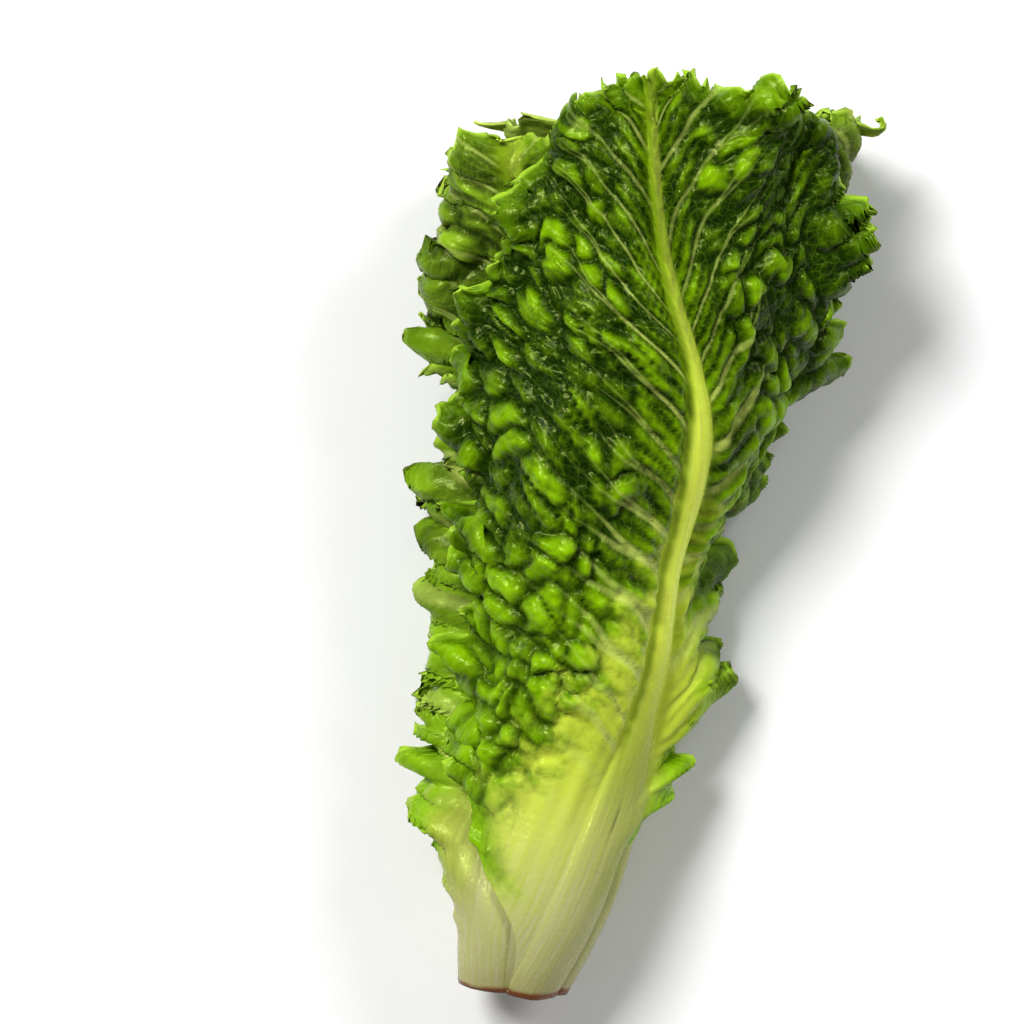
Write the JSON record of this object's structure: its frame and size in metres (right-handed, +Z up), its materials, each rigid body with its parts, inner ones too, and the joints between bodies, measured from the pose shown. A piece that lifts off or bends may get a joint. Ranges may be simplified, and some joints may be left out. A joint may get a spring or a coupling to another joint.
{
  "type": "romaine lettuce head",
  "caption": "Head of romaine lettuce lying on its side, long ribbed leaves with frilled edges wrapped round a short stem with a cut butt.",
  "frame": {"origin": "on the flat spot that the head rests on, under its weight, halfway along its length", "axes": "+Z up, +Y along the head from the cut butt to the leaf tips, +X to the right of the front leaf seen from above"},
  "size_m": [0.1414, 0.2811, 0.0904],
  "materials": {
    "outer_leaf": "moist leaf, bright green blade, pale rib",
    "inner_leaf": "moist leaf, yellow-green blade, pale rib",
    "heart_leaf": "moist leaf, pale yellow blade, cream rib",
    "stem": "moist cream stem with a browned cut edge"
  },
  "bodies": {
    "root": {"leaf_01_front": "outer_leaf", "leaf_02_underneath": "outer_leaf", "leaf_03_left": "outer_leaf", "leaf_04_right": "outer_leaf", "leaf_05_lower_left": "outer_leaf", "leaf_06_inner": "inner_leaf", "leaf_07_inner": "inner_leaf", "leaf_08_inner": "inner_leaf", "leaf_09_inner": "inner_leaf", "leaf_10_inner": "heart_leaf", "leaf_11_inner": "heart_leaf", "leaf_12_heart": "heart_leaf", "stem": "stem"}
  },
  "joints": []
}
